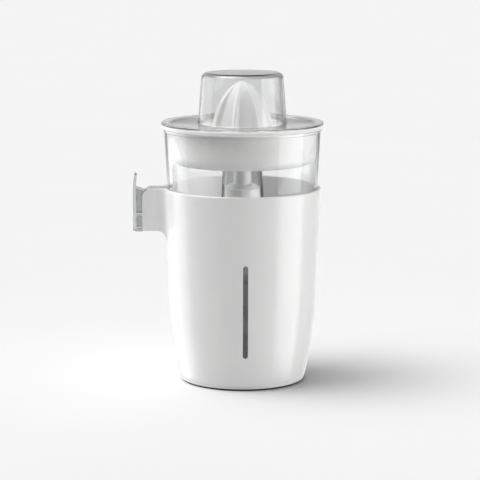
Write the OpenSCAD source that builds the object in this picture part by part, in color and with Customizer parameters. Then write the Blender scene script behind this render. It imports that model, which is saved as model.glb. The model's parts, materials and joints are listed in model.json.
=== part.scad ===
// Electric citrus juicer: a tapered housing, a lift-out jug with a handle, a pulp strainer,
// a reamer cone and a dust cover, over a geared motor that starts when the cone is pressed.
// Millimetres. +Z is up, the front is -Y and the jug's handle is on -X.
// The origin is on the drive axis, at the level of the surface that the juicer stands on.

/* [Body] */
// Outer diameter of the housing at its rim
body_d = 145.6; // [136:0.2:176]
// Outer diameter of the housing at its lower edge
base_d = 117.6; // [114:0.2:128]
// Height of the housing's rim above the table
body_h = 181.5; // [151:0.5:218]
// Taper of the housing's upper part, in degrees a side
body_taper = 2.25; // [1.9:0.05:2.5]
// Radius of the curve that draws the housing in towards its lower edge
body_curve = 420; // [350:5:505]
// Wall of the housing
wall = 2.4; // [2:0.1:2.9]

/* [Handle cradle] */
// Reach of the two cheeks from the drive axis
cheek_reach = 93; // [90:1:112]
// Width over the two cheeks
cheek_w = 26; // [22:1:32]
// Thickness of one cheek
cheek_t = 2.4; // [2:0.1:3]
// Height of the cheeks, down from the rim
cheek_h = 39.3; // [33:0.1:48]
// Radius of a cheek's upper outer corner
cheek_corner = 9; // [5:0.5:14]
// Radius that blends the cheeks into the housing
cheek_fillet = 12; // [6:1:14]

/* [Level window] */
// Width of the window's slot
window_w = 4.7; // [3.9:0.1:6]
// Height of the slot's lower end above the table
window_low = 31.8; // [26.5:0.1:38]
// Height of the slot's upper end above the table
window_high = 118.5; // [98:0.5:142]

/* [Jug] */
// Height of the jug's rim above the housing's rim
jug_above = 55; // [46:0.5:66]
// Taper of the jug above the housing, in degrees a side
jug_taper = 2.9; // [2.2:0.1:3.5]
// Wall of the jug
jug_wall = 2; // [1.6:0.1:2.4]
// Outer radius of the jug's chimney at its top
chimney_r = 17.6; // [16:0.1:20]
// Reach of the handle plate's outer face from the drive axis
handle_reach = 101.8; // [98:0.1:121]
// Thickness of the handle plate
handle_t = 3.3; // [2.7:0.1:4]
// Height of the handle plate
handle_h = 53; // [45:0.5:63]
// Clearance between the handle and each cheek
handle_gap = 1.4; // [1:0.1:1.7]

/* [Strainer and cone] */
// Depth of the strainer bowl, below the jug's rim
strainer_depth = 33; // [28:0.5:39]
// Wall of the strainer bowl
strainer_wall = 2; // [1.6:0.1:2.4]
// Number of drain slots in each ring of the strainer's floor
drain_slots = 30; // [20:1:36]
// Radius of the cone over its ribs, at its skirt
cone_r = 31.5; // [28:0.5:36]
// Height of the cone
cone_h = 70; // [59:0.5:84]
// Number of ribs on the cone
cone_ribs = 8; // [6:1:10]
// Wall of the cone
cone_wall = 2.2; // [1.8:0.1:2.6]
// Distance that the cone travels when it is pressed
press_travel = 2.5; // [2:0.1:3]

/* [Dust cover] */
// Radius of the dome where it leaves the cover's plate
dome_r = 41.2; // [38:0.1:49]
// Wall of the dust cover
cover_wall = 2; // [1.6:0.1:2.4]
// Clearance between the cone's tip and the dome
tip_clearance = 6.2; // [5:0.1:8]

/* [Drive] */
// Radius of the hollow drive spindle
spindle_r = 5; // [4.2:0.1:5.4]
// Radius of the drive coupling's sleeve
coupling_r = 8.35; // [7.8:0.05:9]
// Width across the flats of the hexagons that carry the drive
hex_flats = 10; // [9:0.1:10.6]
// Radius of the push rod and of the cone's pin
rod_r = 2; // [1.7:0.1:2.2]
// Module of the output gear and of the idler's pinion
output_module = 1; // [0.9:0.01:1.05]
// Teeth of the output gear
output_teeth = 60; // [56:1:62]
// Module of the idler's wheel and of the rotor's pinion
motor_module = 0.7; // [0.6:0.01:0.72]
// Teeth of the idler's wheel
wheel_teeth = 50; // [44:1:52]

/* [Base] */
// Height of the rubber ring that the juicer stands on, below the base plate
foot_h = 1.8; // [1.2:0.1:2.2]
// Thickness of the base plate
plate_t = 2.2; // [1.8:0.1:2.6]
// Radius of the mains cord's hole in the cord gland
cord_r = 3.6; // [3:0.1:4.3]

/* [Hidden] */
$fn = 96;

smooth = 200;         // facets of a very large circle
running_gap = 0.05;   // radial clearance of a shaft in its bush
press_gap = 0.03;     // radial clearance of pieces that are pressed together
sliding_gap = 0.15;   // clearance of hexagons that slide in each other
loose_gap = 0.3;      // clearance of shells that lift out of each other
tiny = 0.01;

// ---- Levels, from the table up ----
plate_low = foot_h;
plate_top = plate_low + plate_t;
gear_plate_t = 2.5;
gear_plate_low = 30;
gear_plate_top = gear_plate_low + gear_plate_t;
well_low = 44;
well_t = 2.5;
well_top = well_low + well_t;
jug_low = well_top + tiny;
jug_floor_t = 2.4;
tower_top = body_h - 1.5;
jug_top = body_h + jug_above;
strainer_low = jug_top - strainer_depth;
strainer_floor_t = 2.4;
strainer_floor_top = strainer_low + strainer_floor_t;
chimney_top = strainer_low + 8.8;
hub_low = chimney_top + 3.5;
hub_t = 2.5;
hub_top = hub_low + hub_t;
rim_flange_t = 3;
strainer_flange_t = 3.5;
cover_seat = jug_top + strainer_flange_t;
cone_low = strainer_floor_top + press_travel + 1.4;
cone_top = cone_low + cone_h;
dome_top = cone_top + tip_clearance + cover_wall;

// ---- Housing outline: a straight taper that runs into one large arc below ----
rim_r = body_d / 2;
taper = tan(body_taper);
arc_drop = max(0.5, rim_r - base_d / 2 - taper * (body_h - plate_top));
arc_from = plate_top + sqrt(2 * body_curve * arc_drop);   // height at which the arc begins
taper_out = [cos(body_taper), -sin(body_taper)];          // outward normal of the taper
arc_centre = [rim_r - (body_h - arc_from) * taper, arc_from] - body_curve * taper_out;
// Outer radius of the housing at height z
function body_r(z) = z > arc_from ? rim_r - (body_h - z) * taper
    : arc_centre[0] + sqrt(pow(body_curve, 2) - pow(z - arc_centre[1], 2));
base_r = body_r(plate_top);

// Half of the housing's upright section, filled from the axis, drawn in by inset
module body_section(inset, low, high) {
    turn = arc_centre + (body_curve - inset) * taper_out;
    if (low < turn[1]) intersection() {
        translate(arc_centre) circle(r = body_curve - inset, $fn = smooth);
        translate([0, low]) square([rim_r + 5, min(high, turn[1]) - low]);
    }
    if (high > turn[1]) {
        from = max(low, turn[1]);
        polygon([[0, from], [turn[0] + (from - turn[1]) * taper, from],
                 [turn[0] + (high - turn[1]) * taper, high], [0, high]]);
    }
}
module body_shell(outer, inner, low, high) {
    rotate_extrude() difference() {
        body_section(outer, low, high);
        body_section(inner, low - tiny, high + tiny);
    }
}
// Points of an arc about c, radius r, from angle a to angle b
function arc(c, r, a, b, n = 8) = [for (i = [0:n]) c + r * [cos(a + (b - a) * i / n), sin(a + (b - a) * i / n)]];

// ---- Cradle for the jug's handle ----
cheek_low = body_h - cheek_h;
cheek_half = cheek_w / 2;
channel_half = cheek_half - cheek_t;
blend_x = -sqrt(pow(rim_r + cheek_fillet, 2) - pow(cheek_half + cheek_fillet, 2));
underside_fillet = 8;
cradle_root = rim_r - 14;   // inside the housing's wall, where the cheeks start

module cradle_plan() {
    centre = [blend_x, cheek_half + cheek_fillet];
    on_body = centre * rim_r / norm(centre);
    translate([-cheek_reach, -cheek_half]) square([cheek_reach - cradle_root, cheek_w]);
    for (side = [0, 1]) mirror([0, side]) difference() {
        polygon([centre, [blend_x, cheek_half - 1], [-cradle_root, cheek_half - 1], on_body * 0.97, on_body]);
        translate(centre) circle(r = cheek_fillet);
    }
}
// Seen from the front: x across, z up
module cradle_elevation() {
    wall_x = -body_r(cheek_low);
    fillet_x = wall_x - underside_fillet;
    difference() {
        translate([-cheek_reach, cheek_low]) square([cheek_reach - cradle_root, cheek_h]);
        difference() {
            translate([-cheek_reach - 1, body_h - cheek_corner]) square(cheek_corner + 1);
            translate([-cheek_reach + cheek_corner, body_h - cheek_corner]) circle(r = cheek_corner);
        }
    }
    difference() {
        translate([fillet_x, cheek_low - underside_fillet])
            square([-cradle_root - fillet_x, underside_fillet + 1]);
        translate([fillet_x, cheek_low - underside_fillet]) circle(r = underside_fillet);
    }
}
module cradle_block() {
    low = cheek_low - underside_fillet;
    intersection() {
        translate([0, 0, low]) linear_extrude(body_h - low) cradle_plan();
        translate([0, rim_r, 0]) rotate([90, 0, 0]) linear_extrude(body_d) cradle_elevation();
    }
}

// ---- Cord gland at the back ----
gland_z = 17;
gland_pad_r = 10.5;
gland_pad_y = body_r(gland_z) + 1.8;
gland_barrel_r = cord_r + 2.3;
gland_collar_r = gland_barrel_r + 1.4;
gland_collar_t = 1.4;
// The collar behind the wall meets the curved inner face at its two sides
gland_inner_y = sqrt(pow(body_r(gland_z - gland_collar_r) - wall, 2) - pow(gland_collar_r, 2)) - press_gap;
module along_y(y) { translate([0, y, gland_z]) rotate([-90, 0, 0]) children(); }

// ---- Window slot ----
// A stadium seen from the front, grown by margin on every side
module window_outline(margin) {
    r = window_w / 2 + margin;
    for (z = [window_low + window_w / 2, window_high - window_w / 2]) translate([0, z]) circle(r = r);
    translate([-r, window_low + window_w / 2]) square([2 * r, window_high - window_low - window_w]);
}
module window_prism(margin) {
    rotate([90, 0, 0]) linear_extrude(rim_r + 5) window_outline(margin);
}

ledge_w = 4;
ledge_t = 3;
window_flange = 1.2;        // thickness behind the wall
window_flange_margin = 2.2; // how far it reaches beyond the slot
// Room for the window's flange where it passes the ledge and the well's floor
module window_relief() {
    half = window_w / 2 + window_flange_margin + loose_gap;
    translate([-half, -rim_r, well_low - ledge_t - 1])
        cube([2 * half, rim_r - well_r + 2.4, ledge_t + well_t + 2]);
}
module outer_housing() {
    color("whitesmoke") difference() {
        union() {
            body_shell(0, wall, plate_top, body_h);
            difference() {
                cradle_block();
                rotate_extrude() body_section(wall, 0, body_h + 1);
            }
            // Ledge that carries the well's floor
            difference() {
                body_shell(wall / 2, wall + ledge_w, well_low - ledge_t, well_low);
                window_relief();
            }
            // Flat pad for the cord gland
            difference() {
                along_y(gland_inner_y) cylinder(r = gland_pad_r, h = gland_pad_y - gland_inner_y);
                rotate_extrude() body_section(wall, 0, body_h);
            }
        }
        translate([-cheek_reach - 1, -channel_half, cheek_low])
            cube([cheek_reach + 1 - cradle_root, 2 * channel_half, cheek_h + 1]);
        window_prism(0);
        along_y(gland_inner_y - 5) cylinder(r = gland_barrel_r + 0.1, h = 30);
    }
}

module level_window() {
    color("dimgray") {
        intersection() {
            body_shell(0.5, wall + window_flange / 2, window_low - 5, window_high + 5);
            window_prism(-0.12);
        }
        intersection() {
            body_shell(wall + 0.05, wall + window_flange, window_low - 5, window_high + 5);
            window_prism(window_flange_margin);
        }
    }
}

// ---- Chimney of the jug and tower of the well, which share one taper ----
chimney_slope = tan(3.1);
tower_gap = 1;
tower_wall = 2;
function chimney_out(z) = chimney_r + (chimney_top - z) * chimney_slope;
function tower_out(z) = chimney_out(z) - jug_wall - tower_gap;

// ---- Jug ----
jug_rim_fit = 0.6;                              // gap to the housing's wall at the rim
jug_neck_r = rim_r - wall - jug_rim_fit;        // outer radius at the housing's rim
jug_mouth_r = jug_neck_r + jug_above * tan(jug_taper);   // outer radius at the jug's rim
jug_corner = 9;
jug_clear = 2.1;                                // gap to the housing's wall at the jug's floor
jug_foot_r = body_r(jug_low + jug_corner) - wall - jug_clear;
jug_flange_r = jug_mouth_r + 1.3;
rod_end_gap = 0.2;

module jug_section() {
    c = [jug_foot_r - jug_corner, jug_low + jug_corner];
    polygon(concat(
        [[chimney_out(jug_low), jug_low]],
        arc(c, jug_corner, -90, -4),
        [[jug_neck_r, body_h], [jug_mouth_r, jug_top - rim_flange_t], [jug_flange_r, jug_top - rim_flange_t + 0.8],
         [jug_flange_r, jug_top], [jug_mouth_r - jug_wall, jug_top], [jug_neck_r - jug_wall, body_h]],
        arc(c, jug_corner - jug_wall, -4, -90),
        [[chimney_out(jug_low + jug_floor_t) + 3, jug_low + jug_floor_t - 0.4],
         [chimney_out(jug_low + jug_floor_t), jug_low + jug_floor_t + 2],
         [chimney_out(chimney_top), chimney_top], [chimney_out(chimney_top) - jug_wall, chimney_top],
         [chimney_out(jug_low) - jug_wall, jug_low]]));
}

handle_half = channel_half - handle_gap;
handle_low = cheek_low - 0.8;
handle_web_t = 2.2;
handle_root = jug_neck_r - 5;
// Side webs of the handle, seen from the front: the upper edge falls towards the jug
module handle_web_outline() {
    left = -handle_reach + handle_t / 2;
    polygon([[left, handle_low], [left, body_h + 0.5], [left + 6, body_h - 1.6],
             [left + 14, body_h - 4], [-handle_root, body_h - 6], [-handle_root, cheek_low + 1.2],
             [-cheek_reach, cheek_low + 0.6], [-cheek_reach, handle_low]]);
}
module handle_bars() {
    // Plate with a rounded top, curling towards the jug
    curl = 1.4;
    straight = handle_h - 14;
    translate([0, handle_half, 0]) rotate([90, 0, 0]) linear_extrude(2 * handle_half) {
        translate([-handle_reach, handle_low]) square([handle_t, straight]);
        polygon([[-handle_reach, handle_low + straight], [-handle_reach + curl * 0.3, handle_low + handle_h - 6],
                 [-handle_reach + curl, handle_low + handle_h - 0.8], [-handle_reach + curl + 0.8, handle_low + handle_h],
                 [-handle_reach + curl + handle_t - 1.6, handle_low + handle_h],
                 [-handle_reach + curl + handle_t - 0.8, handle_low + handle_h - 1],
                 [-handle_reach + handle_t, handle_low + straight]]);
    }
    for (y = [-handle_half, handle_half - handle_web_t])
        translate([0, y + handle_web_t, 0]) rotate([90, 0, 0]) linear_extrude(handle_web_t) handle_web_outline();
    // Cross ribs between the side webs
    for (z = [cheek_low + 1.2, cheek_low + 14])
        translate([-handle_reach + handle_t / 2, -handle_half, z])
            cube([handle_reach - handle_t / 2 - handle_root, 2 * handle_half, handle_web_t]);
}
module juice_jug() {
    color("lightgray", 0.5) rotate_extrude() jug_section();
}
// Moulded on the jug: its root ends at the jug's outer face
module jug_handle() {
    side = arc([jug_foot_r - jug_corner, jug_low + jug_corner], jug_corner, -90, -4);
    turn = side[len(side) - 1];
    color("lightgray", 0.5) difference() {
        handle_bars();
        rotate_extrude() polygon([[0, turn[1]], turn, [jug_neck_r, body_h], [0, body_h]]);
    }
}

// ---- Strainer bowl ----
strainer_top_r = jug_mouth_r - jug_wall - loose_gap * 2;
strainer_corner = 10;
strainer_turn_r = strainer_top_r - (strainer_depth - strainer_corner) * tan(jug_taper);
strainer_flange_r = jug_flange_r + 0.8;
hub_in_r = chimney_out(strainer_low) + 1.6;
hub_out_r = hub_in_r + strainer_wall;
drain_w = 1.7;
drain_rings = [[hub_out_r + 11.5, 9.5], [hub_out_r + 23, 9.5]];
module strainer_section() {
    c = [strainer_turn_r - strainer_corner, strainer_low + strainer_corner];
    lip_r = strainer_top_r - strainer_wall + 1;
    polygon(concat(
        [[hub_in_r, strainer_low]],
        arc(c, strainer_corner, -90, 0),
        [[strainer_top_r, jug_top + tiny], [strainer_flange_r, jug_top + tiny], [strainer_flange_r, cover_seat - tiny],
         [lip_r + 0.8, cover_seat - tiny], [lip_r, cover_seat - 1.2],
         [strainer_top_r - strainer_wall, jug_top - 2]],
        arc(c, strainer_corner - strainer_wall, 0, -90),
        [[hub_out_r, strainer_floor_top], [hub_out_r, hub_top], [coupling_r + 0.1, hub_top],
         [coupling_r + 0.1, hub_low], [hub_in_r, hub_low]]));
}
module strainer_bowl() {
    color("white") difference() {
        rotate_extrude() strainer_section();
        for (ring = drain_rings, i = [0:drain_slots - 1])
            rotate([0, 0, (i + 0.5) * 360 / drain_slots])
                translate([ring[0], -drain_w / 2, strainer_low - 1]) cube([ring[1], drain_w, strainer_floor_t + 2]);
    }
}

// ---- Reamer cone ----
// Radius over the ribs at a share s of the height, from 0 at the skirt to 1 at the tip
function cone_out(s) = cone_r * pow(max(0, 1 - pow(s, 2.5)), 1 / 2.2);
rib_h = 3.6;
rib_t = 3;
function cone_core(s) = max(0, cone_out(s) - rib_h * min(1, (1 - s) * 3 + 0.25));
cone_steps = 20;
cone_shares = [for (i = [0:cone_steps]) 1 - pow(1 - i / cone_steps, 1.6)];
hex_hole = hex_flats + 2 * sliding_gap;
coupling_tip = hub_top + 34;
cone_hub_r = hex_hole / sqrt(3) + 2.4;
cone_hub_low = hub_top + 1.9 + press_travel + 0.6;
socket_top = coupling_tip + press_travel + 1.5;
pin_top = socket_top + 8;
module hexagon(flats, h) { cylinder(r = flats / sqrt(3), h = h, $fn = 6); }
first_rib = 27;          // angle of the first rib
core_share = 0.985;      // height of the cone's skin between the ribs, as a share of the ribs' height
cone_inner_top = 1 - cone_wall * 1.6 / cone_h;
socket_web_t = 1.8;
socket_web_rise = 12;    // from the strainer's hub up to the webs
cone_inside = [for (s = cone_shares)
    [max(0, cone_core(s) - cone_wall), cone_low + min(s * core_share, cone_inner_top) * cone_h]];
module cone_shell_section() {
    polygon(concat(
        [for (s = cone_shares) [cone_core(s), cone_low + s * cone_h * core_share]],
        [for (i = [cone_steps:-1:0]) cone_inside[i]]));
}
module cone_rib() {
    translate([0, rib_t / 2, 0]) rotate([90, 0, 0]) linear_extrude(rib_t)
        polygon(concat([for (s = cone_shares) [cone_out(s), cone_low + s * cone_h]],
            [for (i = [cone_steps:-1:0]) let (s = cone_shares[i])
                [max(0, cone_core(s) - 1), cone_low + s * (cone_h - 1.4)]]));
}
module reamer_cone() {
    color("white") {
        rotate_extrude() cone_shell_section();
        for (i = [0:cone_ribs - 1]) rotate([0, 0, i * 360 / cone_ribs + first_rib]) cone_rib();
    }
}
// Hexagonal socket that slides on the coupling, tied to the cone's inside by four webs
module cone_socket() {
    color("white") difference() {
        intersection() {
            union() {
                translate([0, 0, cone_hub_low]) cylinder(r = cone_hub_r, h = cone_h);
                for (a = [0, 90]) rotate([0, 0, a]) translate([-cone_r, -socket_web_t / 2, hub_top + socket_web_rise])
                    cube([2 * cone_r, socket_web_t, cone_h]);
            }
            rotate_extrude() polygon(concat([[0, cone_low]], cone_inside));
        }
        translate([0, 0, cone_hub_low - 1]) hexagon(hex_hole, socket_top - cone_hub_low + 1);
        translate([0, 0, socket_top - 1]) cylinder(r = rod_r + press_gap, h = pin_top - socket_top + 1);
    }
}
pin_low = tower_top + 11;
module cone_pin() {
    color("silver") translate([0, 0, pin_low]) cylinder(r = rod_r, h = pin_top - pin_low);
}

// ---- Drive coupling, turning in the strainer's hub ----
coupling_low = tower_top + 3.4;
head_h = 11;
head_low = coupling_low + 0.3;
head_top = head_low + head_h;
clip_t = 1.2;
clip_drop = 0.1;
module drive_coupling() {
    color("gainsboro") difference() {
        union() {
            translate([0, 0, coupling_low]) cylinder(r = coupling_r, h = hub_top + 0.1 - coupling_low);
            translate([0, 0, hub_top + 0.1]) cylinder(r = coupling_r + 2.6, h = 1.8);
            translate([0, 0, hub_top + 1.8]) hexagon(hex_flats, coupling_tip - hub_top - 1.8);
        }
        translate([0, 0, coupling_low - 1]) hexagon(hex_hole, head_top + 1 - coupling_low + 1);
        cylinder(r = rod_r + 0.4, h = coupling_tip + 1);
        translate([0, 0, hub_low - clip_drop - clip_t]) clip_ring(coupling_r - 0.9, coupling_r + 5, clip_t, 0);
    }
}
module clip_ring(inner, outer, t, opening) {
    difference() {
        cylinder(r = outer, h = t);
        translate([0, 0, -1]) cylinder(r = inner, h = t + 2);
        if (opening > 0) translate([0, -opening / 2, -1]) cube([outer + 1, opening, t + 2]);
    }
}
module coupling_clip() {
    color("silver") translate([0, 0, hub_low - clip_drop - clip_t + 0.05])
        clip_ring(coupling_r - 0.85, coupling_r + 2.4, clip_t - 0.1, 6);
}

// ---- Dust cover ----
cover_r = strainer_flange_r + 0.7;
plate_step_r = strainer_top_r - strainer_wall - 2;
cover_rim_t = 2.6;
dome_corner = 5.5;
dome_low = cover_seat - 1.2;
dome_slope = 0.07;
function dome_out(z) = dome_r - (z - dome_low) * dome_slope;
module dust_cover() {
    turn = dome_top - dome_corner;
    c = [dome_out(turn) - dome_corner, turn];
    color("lightgray", 0.45) rotate_extrude() polygon(concat(
        [[dome_r + 1.6, dome_low + cover_wall]],
        [[dome_r, dome_low + cover_wall + 1.6]],
        arc(c, dome_corner, 0, 90),
        [[0, dome_top + 0.6], [0, dome_top + 0.6 - cover_wall]],
        arc(c, dome_corner - cover_wall, 90, 0),
        [[dome_r - cover_wall, dome_low], [plate_step_r + 1.2 - cover_wall, dome_low],
         [plate_step_r + 1.2 - cover_wall, jug_top], [plate_step_r + 1.2, jug_top],
         [plate_step_r + 1.8, cover_seat + tiny], [cover_r, cover_seat + tiny],
         [cover_r, cover_seat + cover_rim_t], [plate_step_r + 1.6, cover_seat + cover_rim_t],
         [plate_step_r, dome_low + cover_wall]]));
}

// ---- Well: the floor under the jug, the tower and the posts that the base is screwed to ----
gear_turn = 30;                       // angle of the motor and gears about the drive axis
well_r = body_r(well_low) - wall - loose_gap;
boss_r = 4;
boss_circle = base_r - wall - loose_gap - 1.6 - boss_r - 3.4;
boss_low = plate_top + 3.2;
boss_angles = [90, 210, 330];
standoff_r = 3.5;
plate_r = boss_circle - boss_r - 0.6;
standoff_circle = plate_r - 4.4;
standoff_angles = [60, 105, 240, 300];
screw_r = 1.5;
screw_hole_r = screw_r + press_gap;
bush_wall = 2.9;
bush_out = spindle_r + bush_wall;
bush_seat_low = tower_top - 18;
seal_depth = 4.6;
module at_polar(r, angles) { for (a = angles) rotate([0, 0, a]) translate([r, 0, 0]) children(); }
module in_gear_frame() { rotate([0, 0, gear_turn]) children(); }
module inner_well() {
    cap_t = 3;
    color("whitesmoke") difference() {
        union() {
            rotate_extrude() polygon([[tower_out(well_low) - tower_wall, well_low], [well_r, well_low],
                [well_r, well_top], [tower_out(well_top), well_top], [tower_out(tower_top), tower_top],
                [spindle_r + 0.4, tower_top], [spindle_r + 0.4, bush_seat_low], [bush_out + 2.4, bush_seat_low],
                [bush_out + 2.4, tower_top - cap_t], [tower_out(tower_top - cap_t) - tower_wall, tower_top - cap_t]]);
            in_gear_frame() {
                at_polar(boss_circle, boss_angles)
                    translate([0, 0, boss_low]) cylinder(r = boss_r, h = well_low + tiny - boss_low);
                at_polar(standoff_circle, standoff_angles)
                    translate([0, 0, gear_plate_top + tiny]) cylinder(r = standoff_r, h = well_low - gear_plate_top);
            }
        }
        window_relief();
        // Seats of the upper bush and of the shaft seal
        translate([0, 0, bush_seat_low - 1]) cylinder(r = bush_out + press_gap, h = tower_top - bush_seat_low + 2);
        in_gear_frame() {
            at_polar(boss_circle, boss_angles)
                translate([0, 0, boss_low - 1]) cylinder(r = screw_hole_r, h = 16);
            at_polar(standoff_circle, standoff_angles)
                translate([0, 0, gear_plate_top - 1]) cylinder(r = screw_hole_r, h = 9);
        }
    }
}
module tube(outer, inner, h) {
    difference() {
        cylinder(r = outer, h = h);
        translate([0, 0, -1]) cylinder(r = inner, h = h + 2);
    }
}
module upper_bush() {
    color("peru") translate([0, 0, bush_seat_low])
        tube(bush_out, spindle_r + running_gap, tower_top - seal_depth - bush_seat_low);
}
module shaft_seal() {
    lip = spindle_r + 0.06;
    low = tower_top - seal_depth + 0.1;
    color("dimgray") rotate_extrude() polygon([[lip + 1.2, low], [bush_out, low], [bush_out, tower_top + 0.05],
        [bush_out + 2.2, tower_top + 0.05], [bush_out + 1.4, tower_top + 1.4], [lip, tower_top + 2],
        [lip, tower_top + 1.2], [lip + 1.2, tower_top - 0.4]]);
}

// ---- Spindle, push rod and return spring ----
bush_flange_t = 1.4;
bush_low = gear_plate_low - bush_flange_t;
spindle_low = 24.6;
clip_low = bush_low - 1.25;
module drive_spindle() {
    color("silver") difference() {
        union() {
            translate([0, 0, spindle_low]) cylinder(r = spindle_r, h = head_low + tiny - spindle_low);
            translate([0, 0, head_low]) hexagon(hex_flats, head_h);
        }
        translate([0, 0, spindle_low - 1]) cylinder(r = rod_r + 0.1, h = head_top);
        translate([0, 0, clip_low]) clip_ring(spindle_r - 0.8, spindle_r + 2, 1.1, 0);
    }
}
module spindle_clip() {
    color("silver") translate([0, 0, clip_low + 0.05]) clip_ring(spindle_r - 0.75, spindle_r + 1.4, 1, 4);
}
module lower_bush() {
    color("peru") translate([0, 0, bush_low]) difference() {
        union() {
            cylinder(r = spindle_r + 3.6, h = bush_flange_t);
            cylinder(r = spindle_r + 2.4, h = gear_plate_top + 0.9 - bush_low);
        }
        translate([0, 0, -1]) cylinder(r = spindle_r + running_gap, h = 20);
    }
}
rod_low = 14.4;
rod_collar_r = 4;
rod_collar_t = 1.5;
rod_collar_low = spindle_low - 0.1 - rod_collar_t;
module push_rod() {
    color("silver") {
        translate([0, 0, rod_low]) cylinder(r = rod_r, h = pin_low - rod_end_gap / 2 - rod_low);
        translate([0, 0, rod_collar_low]) cylinder(r = rod_collar_r, h = rod_collar_t);
    }
}
// A round bar swept along the points of path; each ring stands square to the path's run
function unit(v) = v / norm(v);
module sweep(path, r, sides) {
    n = len(path);
    rings = [for (i = [0:n - 1]) let (
        run = unit(path[min(i + 1, n - 1)] - path[max(i - 1, 0)]),
        across = unit(cross(run, [0, 0, 1])),
        up = cross(across, run))
        for (k = [0:sides - 1]) path[i] + r * (cos(360 * k / sides) * across + sin(360 * k / sides) * up)];
    sides_faces = [for (i = [0:n - 2], k = [0:sides - 1]) let (a = i * sides, b = (k + 1) % sides)
        [a + k, a + b, a + sides + b, a + sides + k]];
    polyhedron(rings, concat([[for (k = [sides - 1:-1:0]) k]], sides_faces,
        [[for (k = [0:sides - 1]) (n - 1) * sides + k]]), convexity = 6);
}
spring_wire_r = 0.35;
spring_r = 3.1;
spring_turns = 4.5;
spring_low = rod_low + 2;
module return_spring() {
    low = spring_low + spring_wire_r + 0.05;
    rise = rod_collar_low - spring_wire_r - 0.05 - low;
    steps = 14 * spring_turns;
    color("silver") sweep([for (i = [0:steps]) let (a = 360 * spring_turns * i / steps)
        [spring_r * cos(a), spring_r * sin(a), low + rise * i / steps]], spring_wire_r, 8);
}

// ---- Gears ----
pressure_angle = 20;
pinion_teeth = 10;
backlash = 0.12;
wheel_addendum = 0.6;    // in modules; short, so that the ten-tooth pinions aren't undercut
pinion_addendum = 1.05;
root_clearance = 0.25;
function involute(base, r) = let (a = acos(min(1, base / r))) 180 / PI * tan(a) - a;
// One flank point: radius r on the side of a tooth whose half width at the pitch circle is half degrees
function flank(pitch, base, half, r) = half + involute(base, pitch) - involute(base, max(r, base));
module gear_outline(m, teeth, addendum, dedendum) {
    pitch = m * teeth / 2;
    base = pitch * cos(pressure_angle);
    tip = pitch + addendum * m;
    root = pitch - dedendum * m;
    half = 90 / teeth - backlash / 2 / pitch * 90 / PI;
    start = max(base, root);
    radii = [for (i = [0:3]) start + (tip - start) * i / 3];
    polygon([for (t = [0:teeth - 1]) let (mid = 360 * t / teeth) each concat(
        [root * [cos(mid - flank(pitch, base, half, start)), sin(mid - flank(pitch, base, half, start))]],
        [for (r = radii) let (a = mid - flank(pitch, base, half, r)) r * [cos(a), sin(a)]],
        [for (i = [3:-1:0]) let (r = radii[i], a = mid + flank(pitch, base, half, r)) r * [cos(a), sin(a)]],
        [root * [cos(mid + flank(pitch, base, half, start)), sin(mid + flank(pitch, base, half, start))]])]);
}
module wheel(m, teeth, h) {
    linear_extrude(h) gear_outline(m, teeth, wheel_addendum, pinion_addendum + root_clearance);
}
module pinion(m, h) {
    linear_extrude(h) gear_outline(m, pinion_teeth, pinion_addendum, wheel_addendum + root_clearance);
}
output_span = output_module * (output_teeth + pinion_teeth) / 2;   // drive axis to idler axis
motor_span = motor_module * (wheel_teeth + pinion_teeth) / 2;      // idler axis to rotor axis
idler_at = [-output_span, 0];
rotor_direction = 75;
rotor_at = idler_at + motor_span * [cos(rotor_direction), sin(rotor_direction)];
output_low = gear_plate_top + 1.5;
output_t = 4.6;
wheel_low = output_low + output_t + 1;
wheel_t = 3;
axle_r = 1.5;
module at_idler() { in_gear_frame() translate([idler_at[0], idler_at[1], 0]) children(); }
module at_rotor() { in_gear_frame() translate([rotor_at[0], rotor_at[1], 0]) children(); }

// The output gear has a tooth on the line to the idler, and the idler's pinion a gap there
module output_gear() {
    lightening = [for (i = [0:4]) i * 72 + 36];
    color("ivory") in_gear_frame() difference() {
        union() {
            translate([0, 0, output_low]) wheel(output_module, output_teeth, output_t);
            translate([0, 0, output_low - 0.3]) cylinder(r = spindle_r + 4, h = output_t + 3);
        }
        translate([0, 0, output_low - 1]) cylinder(r = spindle_r + press_gap, h = output_t + 5);
        translate([0, 0, output_low - 1]) at_polar(output_module * output_teeth * 0.325, lightening)
            cylinder(r = 5.5, h = output_t + 2);
    }
}
// Teeth of the wheel line up with the rotor's pinion: a wheel tooth faces a gap of the pinion
idler_pinion_turn = 180 / pinion_teeth;
wheel_turn = rotor_direction;
rotor_turn = rotor_direction + 180 + 180 / pinion_teeth;
module idler_gear() {
    color("ivory") at_idler() difference() {
        union() {
            translate([0, 0, output_low - 0.4]) rotate([0, 0, idler_pinion_turn]) pinion(output_module, output_t + 1.4);
            translate([0, 0, wheel_low]) rotate([0, 0, wheel_turn]) wheel(motor_module, wheel_teeth, wheel_t);
        }
        translate([0, 0, output_low - 1]) cylinder(r = axle_r + running_gap, h = 20);
    }
}
module idler_axle() {
    color("silver") at_idler() translate([0, 0, gear_plate_low + 0.2])
        cylinder(r = axle_r, h = well_low - 0.8 - gear_plate_low);
}
module rotor_pinion() {
    color("ivory") at_rotor() rotate([0, 0, rotor_turn]) difference() {
        translate([0, 0, wheel_low - 0.3]) pinion(motor_module, wheel_t + 0.5);
        translate([0, 0, wheel_low - 1]) cylinder(r = axle_r + press_gap, h = 8);
    }
}

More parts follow.
